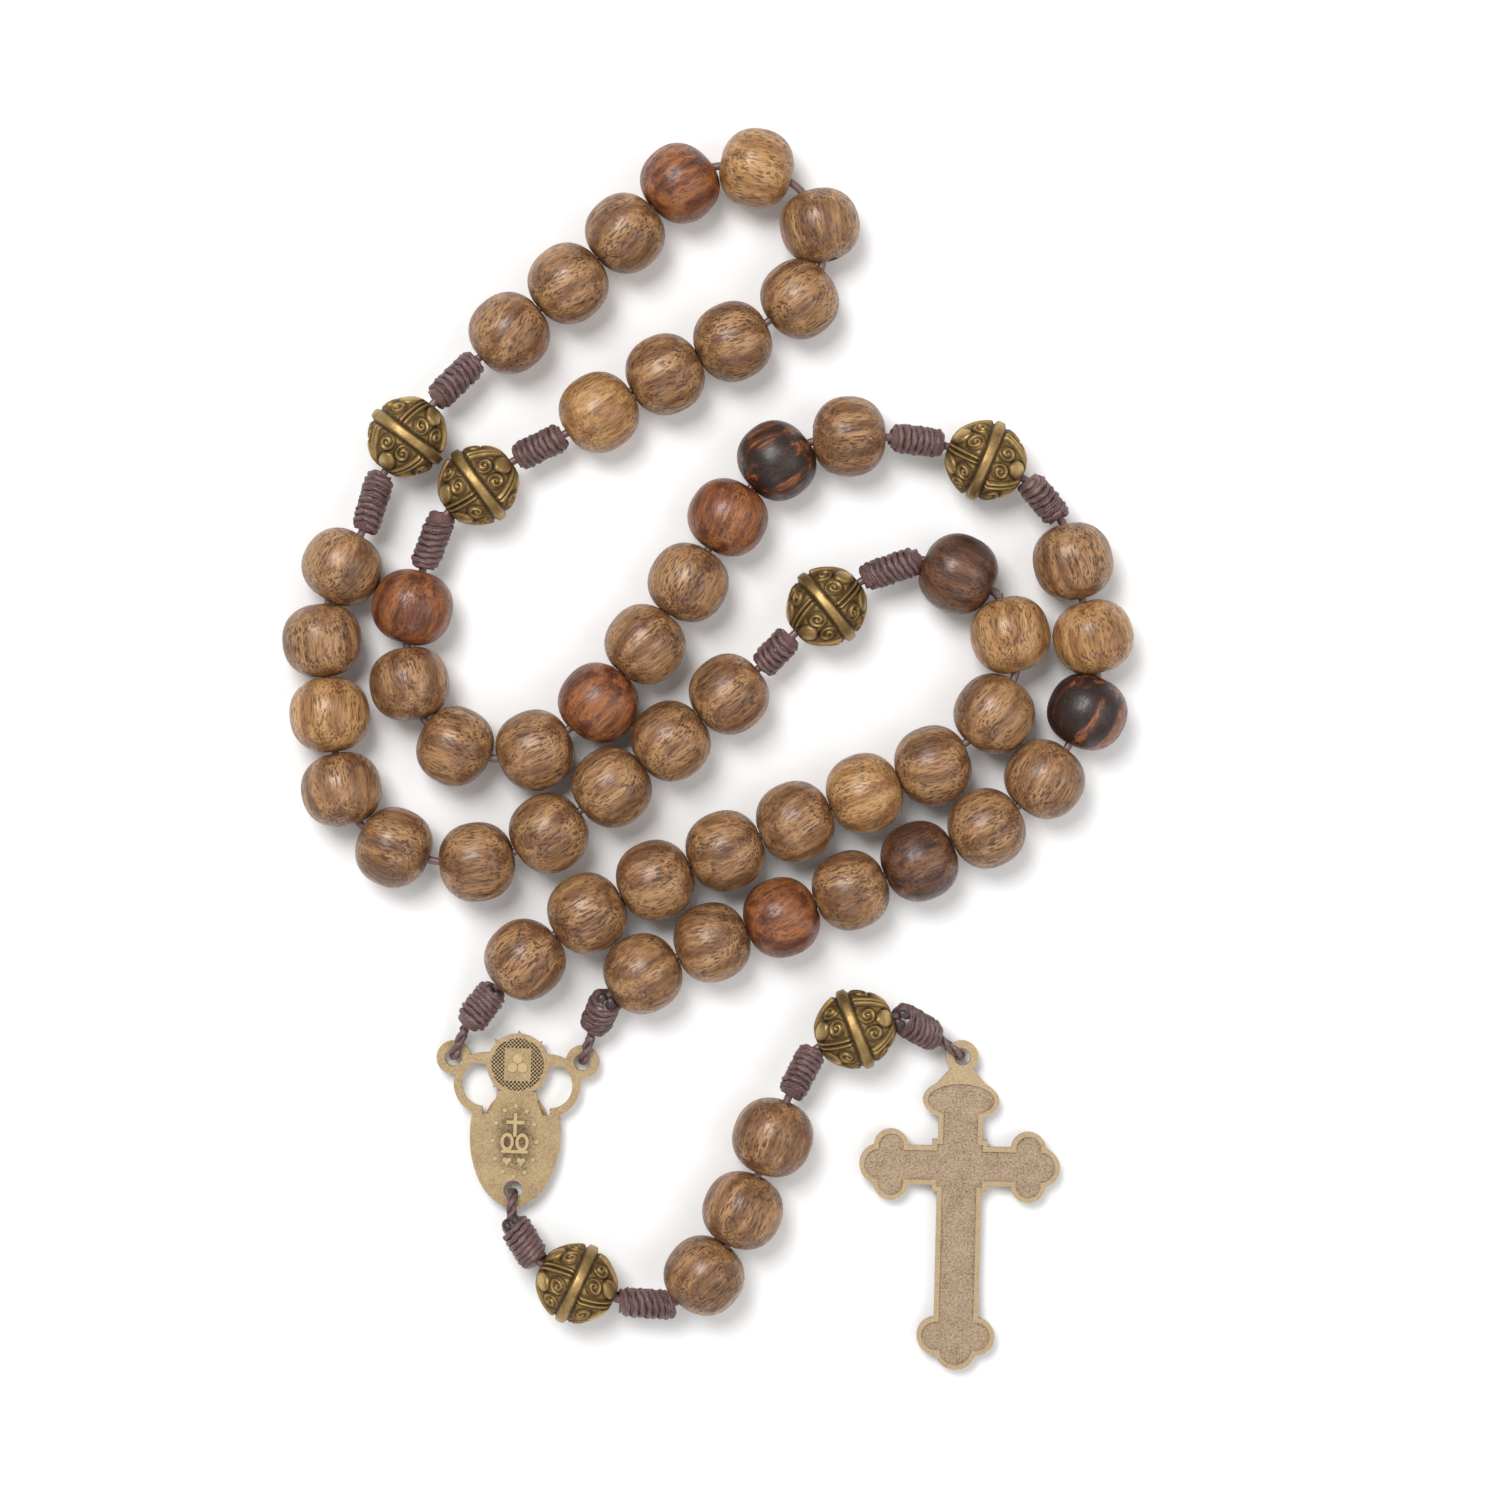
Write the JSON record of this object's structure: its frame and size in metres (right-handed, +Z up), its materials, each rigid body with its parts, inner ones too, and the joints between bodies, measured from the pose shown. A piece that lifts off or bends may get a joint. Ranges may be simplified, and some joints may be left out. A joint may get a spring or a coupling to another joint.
{
  "type": "rosary",
  "caption": "Prayer beads: round wooden beads in five tens with larger cast beads between knots on a cord, a flat cast centrepiece and a lobed cross",
  "frame": {"origin": "middle of the laid-out rosary's outline, on the surface it lies on", "axes": "+Z up from the surface, +Y from the crucifix end towards the far end of the bead loop, +X to the right seen from above"},
  "size_m": [0.1077, 0.1575, 0.0106],
  "materials": {
    "wood": "satin turned hardwood with short dark grain flecks",
    "antique_brass": "cast, dark patina in the grooves, polished high spots",
    "cast_bronze": "matt antique gold cast plate, finely mottled",
    "cord": "waxed twisted cord, plum brown"
  },
  "bodies": {
    "loop_lower": {"decade_1_cord": "cord", "decade_5_cord": "cord"},
    "loop_middle": {"decade_2_cord": "cord", "decade_4_cord": "cord"},
    "loop_upper": {"decade_3_cord": "cord"},
    "centrepiece": {"centrepiece": "cast_bronze", "centrepiece_loops": "cord"},
    "pendant_upper": {"pendant_upper_cord": "cord"},
    "pendant_middle": {"pendant_middle_cord": "cord"},
    "pendant_lower": {"pendant_lower_cord": "cord"},
    "crucifix": {"crucifix": "cast_bronze"},
    "metal_bead_1": {"metal_bead_1": "antique_brass"},
    "metal_bead_2": {"metal_bead_2": "antique_brass"},
    "metal_bead_3": {"metal_bead_3": "antique_brass"},
    "metal_bead_4": {"metal_bead_4": "antique_brass"},
    "metal_bead_5": {"metal_bead_5": "antique_brass"},
    "metal_bead_6": {"metal_bead_6": "antique_brass"},
    "wooden_bead_pendant_1": {"wooden_bead_pendant_1": "wood"},
    "wooden_bead_pendant_2": {"wooden_bead_pendant_2": "wood"},
    "wooden_bead_pendant_3": {"wooden_bead_pendant_3": "wood"},
    "wooden_bead_1_01": {"wooden_bead_1_01": "wood"},
    "wooden_bead_1_02": {"wooden_bead_1_02": "wood"},
    "wooden_bead_1_03_04": {"wooden_bead_1_03_04": "wood"},
    "wooden_bead_1_05": {"wooden_bead_1_05": "wood"},
    "wooden_bead_1_06_07": {"wooden_bead_1_06_07": "wood"},
    "wooden_bead_1_08": {"wooden_bead_1_08": "wood"},
    "wooden_bead_1_09": {"wooden_bead_1_09": "wood"},
    "wooden_bead_1_10": {"wooden_bead_1_10": "wood"},
    "wooden_bead_2_01": {"wooden_bead_2_01": "wood"},
    "wooden_bead_2_02_03": {"wooden_bead_2_02_03": "wood"},
    "wooden_bead_2_04": {"wooden_bead_2_04": "wood"},
    "wooden_bead_2_05": {"wooden_bead_2_05": "wood"},
    "wooden_bead_2_06": {"wooden_bead_2_06": "wood"},
    "wooden_bead_2_07": {"wooden_bead_2_07": "wood"},
    "wooden_bead_2_08_09": {"wooden_bead_2_08_09": "wood"},
    "wooden_bead_2_10": {"wooden_bead_2_10": "wood"},
    "wooden_bead_3_01": {"wooden_bead_3_01": "wood"},
    "wooden_bead_3_02_03": {"wooden_bead_3_02_03": "wood"},
    "wooden_bead_3_04": {"wooden_bead_3_04": "wood"},
    "wooden_bead_3_05": {"wooden_bead_3_05": "wood"},
    "wooden_bead_3_06": {"wooden_bead_3_06": "wood"},
    "wooden_bead_3_07": {"wooden_bead_3_07": "wood"},
    "wooden_bead_3_08_09": {"wooden_bead_3_08_09": "wood"},
    "wooden_bead_3_10": {"wooden_bead_3_10": "wood"},
    "wooden_bead_4_01": {"wooden_bead_4_01": "wood"},
    "wooden_bead_4_02": {"wooden_bead_4_02": "wood"},
    "wooden_bead_4_03": {"wooden_bead_4_03": "wood"},
    "wooden_bead_4_04": {"wooden_bead_4_04": "wood"},
    "wooden_bead_4_05_06": {"wooden_bead_4_05_06": "wood"},
    "wooden_bead_4_07_08": {"wooden_bead_4_07_08": "wood"},
    "wooden_bead_4_09": {"wooden_bead_4_09": "wood"},
    "wooden_bead_4_10": {"wooden_bead_4_10": "wood"},
    "wooden_bead_5_01": {"wooden_bead_5_01": "wood"},
    "wooden_bead_5_02": {"wooden_bead_5_02": "wood"},
    "wooden_bead_5_03": {"wooden_bead_5_03": "wood"},
    "wooden_bead_5_04": {"wooden_bead_5_04": "wood"},
    "wooden_bead_5_05": {"wooden_bead_5_05": "wood"},
    "wooden_bead_5_06_07": {"wooden_bead_5_06_07": "wood"},
    "wooden_bead_5_08_09": {"wooden_bead_5_08_09": "wood"},
    "wooden_bead_5_10": {"wooden_bead_5_10": "wood"}
  },
  "joints": [
    {"name": "middle_fold", "type": "hinge", "parent": "loop_lower", "child": "loop_middle", "pos_m": [0.0373, 0.0201, 0.0051], "axis": [0.6861, 0.7275, 0], "range_deg": [-30, 30]},
    {"name": "upper_fold", "type": "hinge", "parent": "loop_middle", "child": "loop_upper", "pos_m": [-0.0208, 0.0562, 0.0051], "axis": [0.7446, -0.6675, 0], "range_deg": [-25, 25]},
    {"name": "centrepiece_tilt", "type": "hinge", "parent": "loop_lower", "child": "centrepiece", "pos_m": [-0.0304, -0.0349, 0.003], "axis": [0.9988, -0.0496, 0], "range_deg": [-25, 25]},
    {"name": "pendant_swing", "type": "hinge", "parent": "centrepiece", "child": "pendant_upper", "pos_m": [-0.02435, -0.05565, 0.0018], "axis": [0, 0, 1], "range_deg": [-30, 2]},
    {"name": "pendant_lift", "type": "hinge", "parent": "pendant_upper", "child": "pendant_middle", "pos_m": [0.003, -0.0623, 0.0051], "axis": [-0.8609, 0.5088, 0], "range_deg": [-20, 20]},
    {"name": "pendant_bend", "type": "hinge", "parent": "pendant_middle", "child": "pendant_lower", "pos_m": [0.0106, -0.0438, 0.0051], "axis": [0, 0, 1], "range_deg": [-20, 20]},
    {"name": "crucifix_swing", "type": "hinge", "parent": "pendant_lower", "child": "crucifix", "pos_m": [0.03284, -0.0387, 0.0018], "axis": [0, 0, 1], "range_deg": [-25, 60]},
    {"name": "metal_bead_1_spin", "type": "hinge", "parent": "loop_middle", "child": "metal_bead_1", "pos_m": [0.0155, 0.01845, 0.0053], "axis": [-0.7751, -0.6319, 0], "continuous": true},
    {"name": "metal_bead_2_spin", "type": "hinge", "parent": "loop_middle", "child": "metal_bead_2", "pos_m": [-0.03755, 0.03995, 0.0053], "axis": [0.5935, 0.8049, 0], "continuous": true},
    {"name": "metal_bead_3_spin", "type": "hinge", "parent": "loop_middle", "child": "metal_bead_3", "pos_m": [-0.02855, 0.03385, 0.0053], "axis": [-0.8069, -0.5906, 0], "continuous": true},
    {"name": "metal_bead_4_spin", "type": "hinge", "parent": "loop_middle", "child": "metal_bead_4", "pos_m": [0.03565, 0.03695, 0.0053], "axis": [0.9243, -0.3816, 0], "continuous": true},
    {"name": "metal_bead_5_spin", "type": "hinge", "parent": "pendant_upper", "child": "metal_bead_5", "pos_m": [-0.0161, -0.0672, 0.0053], "axis": [0.9048, -0.4258, 0], "continuous": true},
    {"name": "metal_bead_6_spin", "type": "hinge", "parent": "pendant_lower", "child": "metal_bead_6", "pos_m": [0.0191, -0.035, 0.0053], "axis": [0.9297, 0.3684, 0], "continuous": true},
    {"name": "bead_pendant_1_spin", "type": "hinge", "parent": "pendant_upper", "child": "wooden_bead_pendant_1", "pos_m": [0, -0.0662, 0.0051], "axis": [0.6097, 0.7926, 0], "continuous": true},
    {"name": "bead_pendant_2_spin", "type": "hinge", "parent": "pendant_middle", "child": "wooden_bead_pendant_2", "pos_m": [0.0049, -0.05795, 0.0051], "axis": [0.4003, 0.9164, 0], "continuous": true},
    {"name": "bead_pendant_3_spin", "type": "hinge", "parent": "pendant_middle", "child": "wooden_bead_pendant_3", "pos_m": [0.0087, -0.0487, 0.0051], "axis": [0.3615, 0.9324, 0], "continuous": true},
    {"name": "bead_1_01_spin", "type": "hinge", "parent": "loop_lower", "child": "wooden_bead_1_01", "pos_m": [-0.02265, -0.0262, 0.0051], "axis": [0.7218, 0.6921, 0], "continuous": true},
    {"name": "bead_1_02_spin", "type": "hinge", "parent": "loop_lower", "child": "wooden_bead_1_02", "pos_m": [-0.0148, -0.02035, 0.0051], "axis": [0.8727, 0.4883, 0], "continuous": true},
    {"name": "bead_1_03_04_spin", "type": "hinge", "parent": "loop_lower", "child": "wooden_bead_1_03_04", "pos_m": [-0.00175, -0.0143, 0.0051], "axis": [0.9226, 0.3857, 0], "continuous": true},
    {"name": "bead_1_05_spin", "type": "hinge", "parent": "loop_lower", "child": "wooden_bead_1_05", "pos_m": [0.01155, -0.00875, 0.0051], "axis": [0.9234, 0.3839, 0], "continuous": true},
    {"name": "bead_1_06_07_spin", "type": "hinge", "parent": "loop_lower", "child": "wooden_bead_1_06_07", "pos_m": [0.02465, -0.0034, 0.0051], "axis": [0.927, 0.3751, 0], "continuous": true},
    {"name": "bead_1_08_spin", "type": "hinge", "parent": "loop_lower", "child": "wooden_bead_1_08", "pos_m": [0.03675, 0.0049, 0.0051], "axis": [0.5836, 0.812, 0], "continuous": true},
    {"name": "bead_1_09_spin", "type": "hinge", "parent": "loop_lower", "child": "wooden_bead_1_09", "pos_m": [0.03875, 0.0149, 0.0051], "axis": [-0.2686, 0.9633, 0], "continuous": true},
    {"name": "bead_1_10_spin", "type": "hinge", "parent": "loop_middle", "child": "wooden_bead_1_10", "pos_m": [0.0322, 0.0226, 0.0051], "axis": [-0.8979, 0.4402, 0], "continuous": true},
    {"name": "bead_2_01_spin", "type": "hinge", "parent": "loop_middle", "child": "wooden_bead_2_01", "pos_m": [0.00315, 0.0074, 0.0051], "axis": [-0.7725, -0.635, 0], "continuous": true},
    {"name": "bead_2_02_03_spin", "type": "hinge", "parent": "loop_middle", "child": "wooden_bead_2_02_03", "pos_m": [-0.00795, -0.00145, 0.0051], "axis": [-0.7865, -0.6176, 0], "continuous": true},
    {"name": "bead_2_04_spin", "type": "hinge", "parent": "loop_middle", "child": "wooden_bead_2_04", "pos_m": [-0.01965, -0.0102, 0.0051], "axis": [-0.826, -0.5636, 0], "continuous": true},
    {"name": "bead_2_05_spin", "type": "hinge", "parent": "loop_middle", "child": "wooden_bead_2_05", "pos_m": [-0.02875, -0.01385, 0.0051], "axis": [-0.9883, -0.1528, 0], "continuous": true},
    {"name": "bead_2_06_spin", "type": "hinge", "parent": "loop_middle", "child": "wooden_bead_2_06", "pos_m": [-0.03925, -0.012, 0.0051], "axis": [-0.9084, 0.418, 0], "continuous": true},
    {"name": "bead_2_07_spin", "type": "hinge", "parent": "loop_middle", "child": "wooden_bead_2_07", "pos_m": [-0.0459, -0.00465, 0.0051], "axis": [-0.206, 0.9785, 0], "continuous": true},
    {"name": "bead_2_08_09_spin", "type": "hinge", "parent": "loop_middle", "child": "wooden_bead_2_08_09", "pos_m": [-0.04785, 0.0095, 0.0051], "axis": [-0.1006, 0.9949, 0], "continuous": true},
    {"name": "bead_2_10_spin", "type": "hinge", "parent": "loop_middle", "child": "wooden_bead_2_10", "pos_m": [-0.0458, 0.0235, 0.0051], "axis": [0.5463, 0.8376, 0], "continuous": true},
    {"name": "bead_3_01_spin", "type": "hinge", "parent": "loop_middle", "child": "wooden_bead_3_01", "pos_m": [-0.02465, 0.0531, 0.0051], "axis": [0.7789, 0.6272, 0], "continuous": true},
    {"name": "bead_3_02_03_spin", "type": "hinge", "parent": "loop_upper", "child": "wooden_bead_3_02_03", "pos_m": [-0.0136, 0.06255, 0.0051], "axis": [0.75, 0.6614, 0], "continuous": true},
    {"name": "bead_3_04_spin", "type": "hinge", "parent": "loop_upper", "child": "wooden_bead_3_04", "pos_m": [-0.00305, 0.07205, 0.0051], "axis": [0.7285, 0.685, 0], "continuous": true},
    {"name": "bead_3_05_spin", "type": "hinge", "parent": "loop_upper", "child": "wooden_bead_3_05", "pos_m": [0.00665, 0.07395, 0.0051], "axis": [0.9812, -0.1931, 0], "continuous": true},
    {"name": "bead_3_06_spin", "type": "hinge", "parent": "loop_upper", "child": "wooden_bead_3_06", "pos_m": [0.01465, 0.0667, 0.0051], "axis": [0.2652, -0.9642, 0], "continuous": true},
    {"name": "bead_3_07_spin", "type": "hinge", "parent": "loop_upper", "child": "wooden_bead_3_07", "pos_m": [0.0121, 0.0574, 0.0051], "axis": [-0.7863, -0.6178, 0], "continuous": true},
    {"name": "bead_3_08_09_spin", "type": "hinge", "parent": "loop_upper", "child": "wooden_bead_3_08_09", "pos_m": [-0.00065, 0.04995, 0.0051], "axis": [-0.8996, -0.4367, 0], "continuous": true},
    {"name": "bead_3_10_spin", "type": "hinge", "parent": "loop_middle", "child": "wooden_bead_3_10", "pos_m": [-0.0133, 0.04305, 0.0051], "axis": [-0.8305, -0.557, 0], "continuous": true},
    {"name": "bead_4_01_spin", "type": "hinge", "parent": "loop_middle", "child": "wooden_bead_4_01", "pos_m": [-0.0369, 0.0184, 0.0051], "axis": [-0.2524, -0.9676, 0], "continuous": true},
    {"name": "bead_4_02_spin", "type": "hinge", "parent": "loop_middle", "child": "wooden_bead_4_02", "pos_m": [-0.0373, 0.0087, 0.0051], "axis": [0.155, -0.9879, 0], "continuous": true},
    {"name": "bead_4_03_spin", "type": "hinge", "parent": "loop_middle", "child": "wooden_bead_4_03", "pos_m": [-0.0315, 0.0008, 0.0051], "axis": [0.8725, -0.4886, 0], "continuous": true},
    {"name": "bead_4_04_spin", "type": "hinge", "parent": "loop_middle", "child": "wooden_bead_4_04", "pos_m": [-0.0214, 0.0003, 0.0051], "axis": [0.9116, 0.4111, 0], "continuous": true},
    {"name": "bead_4_05_06_spin", "type": "hinge", "parent": "loop_middle", "child": "wooden_bead_4_05_06", "pos_m": [-0.0104, 0.01, 0.0051], "axis": [0.6234, 0.7819, 0], "continuous": true},
    {"name": "bead_4_07_08_spin", "type": "hinge", "parent": "loop_middle", "child": "wooden_bead_4_07_08", "pos_m": [0.0005, 0.02565, 0.0051], "axis": [0.5183, 0.8552, 0], "continuous": true},
    {"name": "bead_4_09_spin", "type": "hinge", "parent": "loop_middle", "child": "wooden_bead_4_09", "pos_m": [0.0092, 0.03695, 0.0051], "axis": [0.7716, 0.6361, 0], "continuous": true},
    {"name": "bead_4_10_spin", "type": "hinge", "parent": "loop_middle", "child": "wooden_bead_4_10", "pos_m": [0.01835, 0.04, 0.0051], "axis": [1, 0, 0], "continuous": true},
    {"name": "bead_5_01_spin", "type": "hinge", "parent": "loop_lower", "child": "wooden_bead_5_01", "pos_m": [0.0467, 0.0242, 0.0051], "axis": [0.2279, -0.9737, 0], "continuous": true},
    {"name": "bead_5_02_spin", "type": "hinge", "parent": "loop_lower", "child": "wooden_bead_5_02", "pos_m": [0.04925, 0.0146, 0.0051], "axis": [0.2838, -0.9589, 0], "continuous": true},
    {"name": "bead_5_03_spin", "type": "hinge", "parent": "loop_lower", "child": "wooden_bead_5_03", "pos_m": [0.0485, 0.00515, 0.0051], "axis": [-0.4353, -0.9003, 0], "continuous": true},
    {"name": "bead_5_04_spin", "type": "hinge", "parent": "loop_lower", "child": "wooden_bead_5_04", "pos_m": [0.0431, -0.00335, 0.0051], "axis": [-0.6295, -0.777, 0], "continuous": true},
    {"name": "bead_5_05_spin", "type": "hinge", "parent": "loop_lower", "child": "wooden_bead_5_05", "pos_m": [0.03575, -0.0096, 0.0051], "axis": [-0.8747, -0.4847, 0], "continuous": true},
    {"name": "bead_5_06_07_spin", "type": "hinge", "parent": "loop_lower", "child": "wooden_bead_5_06_07", "pos_m": [0.0229, -0.0156, 0.0051], "axis": [-0.9202, -0.3914, 0], "continuous": true},
    {"name": "bead_5_08_09_spin", "type": "hinge", "parent": "loop_lower", "child": "wooden_bead_5_08_09", "pos_m": [0.0054, -0.02245, 0.0051], "axis": [-0.9415, -0.337, 0], "continuous": true},
    {"name": "bead_5_10_spin", "type": "hinge", "parent": "loop_lower", "child": "wooden_bead_5_10", "pos_m": [-0.00775, -0.028, 0.0051], "axis": [-0.8756, -0.4831, 0], "continuous": true}
  ]
}
